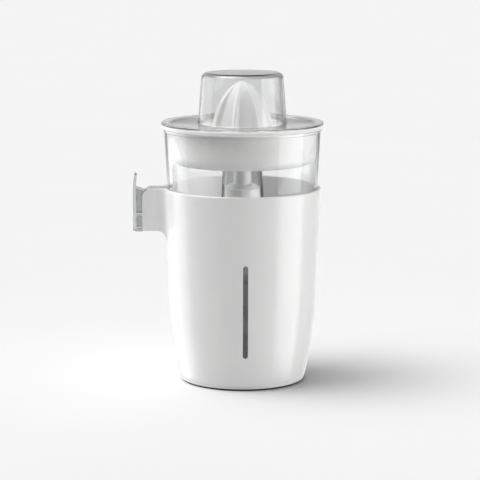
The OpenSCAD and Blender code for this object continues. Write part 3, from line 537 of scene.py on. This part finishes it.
def loft(name, outlines):
    """Solid through outlines of one length, each a list of (x, y, z)."""
    bm = bmesh.new()
    rings = [[bm.verts.new(p) for p in outline] for outline in outlines]
    bm.faces.new(rings[0])
    bm.faces.new(list(reversed(rings[-1])))
    for a, b in zip(rings, rings[1:]):
        for k in range(len(a)):
            j = (k + 1) % len(a)
            bm.faces.new((a[k], b[k], b[j], a[j]))
    return make_object(name, bm)


def cradle():
    """The two cheeks that hold the jug's handle."""
    block_low = CHEEK_LOW - UNDER_FILLET
    levels = heights(block_low, HOUSING_TOP, 12)
    block = loft("cradle", [[(x, y, z) for x, y in cradle_outline(z)] for z in levels])
    wall_x = -body_r(CHEEK_LOW)
    under = arc((wall_x - UNDER_FILLET, block_low), UNDER_FILLET, 90, 0, 20)
    corner = arc((-CHEEK_REACH + CHEEK_CORNER, HOUSING_TOP - CHEEK_CORNER), CHEEK_CORNER, 180, 90, 24)
    side = [(-CHEEK_REACH, CHEEK_LOW)] + under + [(-CHEEK_ROOT, block_low), (-CHEEK_ROOT, HOUSING_TOP)]
    side += list(reversed(corner))
    combine(block, prism("elevation", side, -RIM_R, RIM_R, frontal), "INTERSECT")
    levels = heights(PAST, HOUSING_TOP + PAST, 60)
    plug = [(0, 0)] + [(body_r(z, WALL * 0.6), z) for z in levels] + [(0, HOUSING_TOP + PAST)]
    return combine(block, lathe("plug", plug), "DIFFERENCE")


def slot_outline():
    """Front view of the level window's slot."""
    r = SLOT_W / 2
    return arc((0, SLOT_HIGH - r), r, 0, 180, 20) + arc((0, SLOT_LOW + r), r, 180, 360, 20)


def build_housing():
    shell = lathe("housing_shell", housing_section())
    combine(shell, cradle(), "UNION")
    channel = CHEEK_HALF - CHEEK_T
    cut = [(-CHEEK_REACH - PAST, CHEEK_LOW), (-CHEEK_ROOT, CHEEK_LOW), (-CHEEK_ROOT, HOUSING_TOP + PAST),
           (-CHEEK_REACH - PAST, HOUSING_TOP + PAST)]
    combine(shell, prism("channel", cut, -channel, channel, frontal), "DIFFERENCE")
    inwards = 25 * MM  # through the wall, and short of the well
    combine(shell, prism("slot", slot_outline(), -RIM_R - PAST, -RIM_R + inwards, frontal), "DIFFERENCE")
    clean(shell)
    soften(shell, 0.5 * MM)
    smooth(shell)
    return piece(shell, "outer_housing", "base", "white_gloss")


# ---------------------------------------------------------------- jug
JUG_FOOT_R = body_r(JUG_LOW + JUG_CORNER) - WALL - JUG_CLEAR


def chimney_out(z):
    """Outer radius of the chimney at height z."""
    return CHIMNEY_R + (CHIMNEY_TOP - z) * CHIMNEY_SLOPE


def jug_section():
    """Half section of the jug: wall, floor and the chimney in the middle."""
    centre = (JUG_FOOT_R - JUG_CORNER, JUG_LOW + JUG_CORNER)
    floor_top = JUG_LOW + JUG_FLOOR
    flange = 3 * MM
    flange_rise = 0.6 * MM
    lip = 0.5 * MM
    out = [(chimney_out(JUG_LOW), JUG_LOW)]
    out += arc(centre, JUG_CORNER, -90, -4, 14)
    out += [(JUG_NECK_R, HOUSING_TOP), (JUG_MOUTH_R, JUG_TOP - flange)]
    out += [(JUG_FLANGE_R - lip, JUG_TOP - flange + flange_rise)]
    out += arc((JUG_FLANGE_R - lip, JUG_TOP - lip), lip, 0, 90, 4)
    out += arc((JUG_MOUTH_R - JUG_WALL + lip, JUG_TOP - lip), lip, 90, 180, 4)
    out += [(JUG_NECK_R - JUG_WALL, HOUSING_TOP)]
    out += arc(centre, JUG_CORNER - JUG_WALL, -4, -90, 12)
    root = 3 * MM
    out += arc((chimney_out(floor_top) + root, floor_top + root), root, -90, -180, 6)
    edge = JUG_WALL / 2
    out += arc((chimney_out(CHIMNEY_TOP) - edge, CHIMNEY_TOP - edge), edge, 0, 180, 8)
    out += [(chimney_out(JUG_LOW) - JUG_WALL, JUG_LOW)]
    return out


def handle_solids():
    """Grip plate with a rounded, slightly inturned top, side webs and cross ribs."""
    web = 2.2 * MM
    base = CHEEK_LOW - 0.8 * MM
    top = base + HANDLE_H
    outer = -HANDLE_REACH
    inner = outer + HANDLE_T
    curl = 1.4 * MM
    curl_h = 16 * MM
    draft = 0.6 * MM  # how much thinner the plate gets towards its top
    levels = heights(base + 0.8 * MM, top - 1.4 * MM, 16)

    def inturned(z):
        return curl * max(0.0, (z - (top - curl_h)) / curl_h) ** 2

    left = [(outer + inturned(z), z) for z in levels]
    right = [(inner + inturned(z) - draft * (z - base) / (top - base), z) for z in reversed(levels)]
    crown_l, crown_r = left[-1], right[0]
    middle = ((crown_l[0] + crown_r[0]) / 2, crown_l[1])
    crown = arc(middle, (crown_r[0] - crown_l[0]) / 2, 180, 0, 10)[1:-1]
    plate = prism("plate", left + crown + right, -HANDLE_HALF, HANDLE_HALF, frontal)
    start = outer + HANDLE_T / 2
    root = -(JUG_NECK_R - 5 * MM)
    # The webs' upper edge falls from the plate to the jug's wall
    web_outline = [(start, base), (start, HOUSING_TOP + 0.5 * MM), (start + 6 * MM, HOUSING_TOP - 1.6 * MM),
                   (start + 14 * MM, HOUSING_TOP - 4 * MM), (root, HOUSING_TOP - 6 * MM),
                   (root, CHEEK_LOW + 1.2 * MM), (-CHEEK_REACH, CHEEK_LOW + 0.6 * MM), (-CHEEK_REACH, base)]
    solids = [prism("web", web_outline, y, y + web, frontal) for y in (-HANDLE_HALF, HANDLE_HALF - web)]
    for z in (CHEEK_LOW + 1.2 * MM, CHEEK_LOW + 14 * MM):
        rib = [(start, z), (root, z), (root, z + web), (start, z + web)]
        solids.append(prism("rib", rib, -HANDLE_HALF, HANDLE_HALF, frontal))
    for solid in solids:
        combine(plate, solid, "UNION")
    return plate


def build_jug():
    """The jug and its handle, which ends at the jug's outer face."""
    handle = handle_solids()
    plug = [(0, JUG_LOW - PAST), (JUG_FOOT_R, JUG_LOW - PAST), (JUG_NECK_R, HOUSING_TOP),
            (JUG_MOUTH_R, JUG_TOP), (0, JUG_TOP)]
    combine(handle, lathe("plug", plug), "DIFFERENCE")
    soften(clean(handle), 0.25 * MM, 50, 2)
    piece(smooth(handle), "jug_handle", "jug", "clear_thick")
    jug = smooth(clean(lathe("jug_shell", jug_section())))
    return piece(jug, "juice_jug", "jug", "clear_plastic")


# ---------------------------------------------------------------- strainer
def bowl_section():
    """Half section of the strainer and the outer radius of its hub."""
    corner = 10 * MM
    depth = JUG_TOP - BOWL_LOW
    turn_r = BOWL_R - (depth - corner) * math.tan(math.radians(2.9))
    centre = (turn_r - corner, BOWL_LOW + corner)
    hub_in = chimney_out(BOWL_LOW) + 1.6 * MM
    hub_out = hub_in + BOWL_WALL
    floor_top = BOWL_LOW + 2.4 * MM
    hub_low = CHIMNEY_TOP + 3.5 * MM
    hub_top = hub_low + 2.5 * MM
    bush = high("drive_coupling")[0] - 2.5 * MM
    edge = 0.7 * MM
    lip_edge = 1.2 * MM
    root = 2 * MM
    shoulder = 1.5 * MM
    rim = BOWL_FLANGE_R
    lip = BOWL_R - BOWL_WALL
    out = [(hub_in, BOWL_LOW)]
    out += arc(centre, corner, -90, 0, 14)
    out += [(BOWL_R, JUG_TOP)]
    out += arc((rim - edge, JUG_TOP + edge), edge, -90, 0, 4)
    out += arc((rim - edge, BOWL_TOP - edge), edge, 0, 90, 4)
    out += arc((lip + lip_edge + 0.1 * MM, BOWL_TOP - lip_edge), lip_edge, 90, 180, 5)
    out += [(lip, JUG_TOP - 2 * MM)]
    out += arc(centre, corner - BOWL_WALL, 0, -90, 12)
    out += arc((hub_out + root, floor_top + root), root, -90, -180, 6)
    out += arc((hub_out - shoulder, hub_top - shoulder), shoulder, 0, 90, 6)
    out += [(bush, hub_top), (bush, hub_low), (hub_in, hub_low)]
    return out, hub_out


def build_bowl():
    """The strainer, with two rings of drain slots in its floor."""
    section, hub_out = bowl_section()
    bowl = lathe("strainer_shell", section)
    slots = 30
    length = 9.5 * MM
    end_r = 1.7 * MM / 2
    below, above = BOWL_LOW - 5 * MM, BOWL_LOW + 8 * MM
    bm = bmesh.new()
    for start in (hub_out + 11.5 * MM, hub_out + 23 * MM):
        for i in range(slots):
            a = 2 * math.pi * (i + 0.5) / slots
            radial = Vector((math.cos(a), math.sin(a), 0))
            across = Vector((-math.sin(a), math.cos(a), 0))
            outline = []
            for end, first in ((start + length - end_r, -90), (start + end_r, 90)):
                outline += [radial * x + across * y for x, y in arc((end, 0), end_r, first, first + 180, 6)]
            levels = [[bm.verts.new((p.x, p.y, z)) for p in outline] for z in (below, above)]
            bm.faces.new(levels[0])
            bm.faces.new(list(reversed(levels[1])))
            for k in range(len(outline)):
                j = (k + 1) % len(outline)
                bm.faces.new((levels[0][k], levels[1][k], levels[1][j], levels[0][j]))
    combine(bowl, make_object("drain_slots", bm), "DIFFERENCE")
    smooth(clean(bowl))
    return piece(bowl, "strainer_bowl", "strainer", "white_food")


# ---------------------------------------------------------------- reamer cone
RIBS = 8
RIB_ANGLE = math.radians(27)


def cone_out(s):
    """Radius of the cone's outline at the share s of its height."""
    return CONE_R * max(0.0, 1 - s ** 2.35) ** 0.6


def cone_surface(s, angle):
    """Radius of the cone's skin: rounded ridges with hollow flutes between them."""
    ridge = 0.5 + 0.5 * math.cos(RIBS * (angle - RIB_ANGLE))
    raised = 0.85 * ridge ** 9 + 0.15 * ridge ** 1.5
    depth = FLUTE_DEPTH * min(1.0, (1 - s) * 2.6 + 0.12)
    return max(0.0, cone_out(s) - min(depth * (1 - raised), 0.72 * cone_out(s)))


def build_cone():
    """The reamer cone: ribbed skin with a plain lining, and the socket inside."""
    height = CONE_TOP - CONE_LOW
    turns = 480
    rows = 72
    shares = [1 - (1 - i / rows) ** 1.7 for i in range(rows + 1)]
    bm = bmesh.new()

    angles = [2 * math.pi * k / turns for k in range(turns)]
    tip_r = 0.4 * MM
    least = 0.01 * MM
    recess = 0.1 * MM  # the lining starts this far below the skin's foot
    thinnest = LINING_INSET + 0.5 * MM

    def ring(radii, z):
        return [bm.verts.new((r * math.cos(a), r * math.sin(a), z)) for r, a in zip(radii, angles)]

    skin = []
    for s in shares[:-1]:
        radii = [max(tip_r * (1 - s) + least, cone_surface(s, a)) for a in angles]
        skin.append(ring(radii, CONE_LOW + s * height))
    tip = bm.verts.new((0, 0, CONE_TOP))
    lining = [ring([cone_out(s) - LINING_INSET] * turns, CONE_LOW + s * height - recess)
              for s in shares if cone_out(s) > thinnest]
    for rings in (skin, lining):
        for a, b in zip(rings, rings[1:]):
            for k in range(turns):
                j = (k + 1) % turns
                bm.faces.new((a[k], a[j], b[j], b[k]))
    for k in range(turns):
        j = (k + 1) % turns
        bm.faces.new((skin[-1][k], skin[-1][j], tip))
        bm.faces.new((skin[0][j], skin[0][k], lining[0][k], lining[0][j]))
    bm.faces.new(lining[-1])
    cone = make_object("cone_skin", bm)
    socket = hub_and_webs(height)
    whole = join([cone, socket], "cone_body")
    smooth(whole, 40)
    return piece(whole, ["reamer_cone", "cone_socket"], "cone", "white_food")


def hub_and_webs(height):
    """Hexagonal socket and the four webs that tie it to the skin."""
    corner = 10.3 * MM / math.sqrt(3)  # centre to corner of a hexagon 10.3 mm across its flats
    hub_r = corner + 2.4 * MM
    hub_low = high("coupling_clip")[2] + 8.3 * MM
    socket_top = high("drive_coupling")[2] + 4 * MM
    hub_top = socket_top + 9 * MM
    hub = lathe("hub", [(hub_r, hub_low), (hub_r, hub_top), (0, hub_top), (0, hub_low)], 64)
    hexagon = arc((0, 0), corner, 0, 300, 5)
    combine(hub, prism("socket", hexagon, hub_low - PAST, socket_top, upright), "DIFFERENCE")
    parts = [hub]
    bottom = hub_low + 8 * MM
    web_in = 8.2 * MM
    half = 0.9 * MM
    for direction in (frontal, sideways):
        for side in (-1, 1):
            outline = [(side * web_in, bottom), (side * 22 * MM, bottom),
                       (side * 20 * MM, CONE_LOW + height * 0.55), (side * web_in, CONE_LOW + height * 0.75)]
            parts.append(prism("web", outline, -half, half, direction))
    return join(parts, "socket_and_webs")


# ---------------------------------------------------------------- dust cover
def cover_section():
    """Half section of the cover, with the dome, the spigot in the strainer and the rim."""
    seat = BOWL_TOP
    dome_low = seat - 1.2 * MM
    crown = 0.6 * MM  # how far the dome's top rises towards its middle
    top = COVER_TOP - crown
    step = BOWL_R - BOWL_WALL - 2 * MM
    spigot = step + 1.2 * MM
    rim_top = seat + 2.6 * MM
    corner = 5.5 * MM
    turn = top - corner
    centre = (DOME_R - (turn - dome_low) * DOME_SLOPE - corner, turn)
    edge = 1.2 * MM
    fillet = 1.6 * MM
    inner_fillet = 1.0 * MM
    step_r = 0.8 * MM
    out = arc((DOME_R + fillet, dome_low + COVER_WALL + fillet), fillet, -90, -176, 6)
    out += arc(centre, corner, 4, 88, 14)
    out += [(centre[0] * k, top + crown * (1 - k ** 2)) for k in (0.8, 0.55, 0.3, 0.1)]
    out += [(0, top + crown), (0, top + crown - COVER_WALL)]
    out += [(centre[0] * k, top - COVER_WALL + crown * (1 - k ** 2)) for k in (0.1, 0.3, 0.55, 0.8)]
    out += arc(centre, corner - COVER_WALL, 88, 4, 12)
    out += arc((DOME_R - COVER_WALL + inner_fillet, dome_low + inner_fillet), inner_fillet, 180, 270, 5)
    out += [(spigot - COVER_WALL, dome_low), (spigot - COVER_WALL, JUG_TOP), (spigot, JUG_TOP),
            (step + 1.8 * MM, seat)]
    out += arc((COVER_R - edge, seat + edge), edge, -90, 0, 5)
    out += arc((COVER_R - edge, rim_top - edge), edge, 0, 90, 5)
    out += arc((step + 2.4 * MM, rim_top - step_r), step_r, 90, 160, 4)
    out += arc((step - step_r, dome_low + COVER_WALL + step_r), step_r, -20, -90, 4)
    return out


def build_cover():
    cover = lathe("cover_shell", cover_section())
    smooth(clean(cover))
    return piece(cover, "dust_cover", "cover", "clear_cover")


# ---------------------------------------------------------------- studio
def floor_setup():
    """White table under the juicer, not seen in reflections."""
    bm = bmesh.new()
    bmesh.ops.create_grid(bm, x_segments=8, y_segments=8, size=12)
    floor = make_object("floor", bm)
    n = Nodes("floor_paper")
    n.set(Roughness=0.9, Specular_IOR_Level=0.0)
    cloud = n.noise(3.0, 2.0)
    colours = n.ramp(cloud, "Fac", grey(0.885), grey(0.895))
    n.link(colours, "Color", n.shader, "Base Color")
    floor.data.materials.append(n.material)
    floor.visible_glossy = False
    return floor


# Soft lights: (direction, sharpness, strength). Main light at the upper left, weak ones overhead and
# behind, and a wide faint one from below
SKY = [
    ((-0.42, 0, 0.91), 13.0, 7.2),
    ((0, 0, 1), 4.0, 0.3),
    ((0, 1, 0.12), 5.0, 0.75),
    ((0, 0, -1), 0.3, 0.8),
]


def world_setup():
    """Pale room: a plain colour for the camera, and the soft lights of SKY for everything else."""
    world = bpy.data.worlds.new("studio")
    bpy.context.scene.world = world
    world.use_nodes = True
    tree = world.node_tree
    tree.nodes.clear()
    new, link = tree.nodes.new, tree.links.new
    out = new("ShaderNodeOutputWorld")
    plain = new("ShaderNodeBackground")
    plain.inputs["Color"].default_value = grey(0.913)
    room = new("ShaderNodeBackground")
    mix = new("ShaderNodeMixShader")
    link(new("ShaderNodeLightPath").outputs["Is Camera Ray"], mix.inputs[0])
    link(room.outputs[0], mix.inputs[1])
    link(plain.outputs[0], mix.inputs[2])
    link(mix.outputs[0], out.inputs["Surface"])
    coordinates = new("ShaderNodeTexCoord")
    total = None
    for toward, sharpness, strength in SKY:
        facing = new("ShaderNodeVectorMath")
        facing.operation = "DOT_PRODUCT"
        facing.inputs[1].default_value = Vector(toward).normalized()
        link(coordinates.outputs["Generated"], facing.inputs[0])
        value = facing.outputs["Value"]
        for operation, number in (("MAXIMUM", 0.0), ("POWER", sharpness), ("MULTIPLY", strength)):
            step = new("ShaderNodeMath")
            step.operation = operation
            step.inputs[1].default_value = number
            link(value, step.inputs[0])
            value = step.outputs[0]
        if total is not None:
            both = new("ShaderNodeMath")
            link(total, both.inputs[0])
            link(value, both.inputs[1])
            value = both.outputs[0]
        total = value
    link(total, room.inputs["Color"])


def panel(name, azimuth, distance, width, height, radiance, unlit, middle):
    """Upright softbox that faces the juicer and casts no shadow.

    It doesn't light what is in unlit. Radiance is how bright its face is.
    """
    data = bpy.data.lights.new(name, "AREA")
    data.shape = "RECTANGLE"
    data.size = width
    data.size_y = height
    data.energy = radiance * math.pi * width * height
    data.use_shadow = False
    obj = bpy.data.objects.new(name, data)
    bpy.context.collection.objects.link(obj)
    a = math.radians(azimuth)
    away = Vector((math.sin(a), -math.cos(a), 0))
    obj.location = away * distance + Vector((0, 0, middle))
    obj.rotation_euler = away.to_track_quat("Z", "Y").to_euler()
    obj.visible_camera = False
    obj.light_linking.receiver_collection = unlit


def studio_setup():
    floor = floor_setup()
    world_setup()
    unlit = bpy.data.collections.new("unlit_by_panels")
    unlit.objects.link(floor)
    unlit.collection_objects[0].light_linking.link_state = "EXCLUDE"
    panel("left_panel", -118, 0.75, 0.75, 1.1, 1.3, unlit, 0.15)
    panel("right_panel", 73, 0.75, 0.6, 1.1, 1.95, unlit, 0.15)
    scene = bpy.context.scene
    scene.view_settings.view_transform = "Standard"
    scene.view_settings.look = "None"


# ---------------------------------------------------------------- spring
def build_spring():
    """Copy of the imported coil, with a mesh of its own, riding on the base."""
    packed = frame["nodes"]["return_spring"]
    spring = packed.copy()
    spring.data = packed.data.copy()
    spring.name = "coil_spring"
    bpy.context.collection.objects.link(spring)
    piece(spring, "return_spring", "base", "steel")
    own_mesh(spring)


# ---------------------------------------------------------------- put together
studio_setup()
build_housing()
build_jug()
build_bowl()
build_cone()
build_cover()
build_spring()

OWN_MATERIAL = {"inner_well": "well_white", "shaft_seal": "silicone", "drive_spindle": "grey_plastic"}
SLOT_OF = {s["node"]: s["material_slot"] for s in frame["record"]["subparts"]}
for node_name, node_object in frame["nodes"].items():
    slot_name = OWN_MATERIAL.get(node_name, SLOT_OF[node_name])
    for index in range(len(node_object.material_slots)):
        node_object.material_slots[index].material = MATERIALS[slot_name]
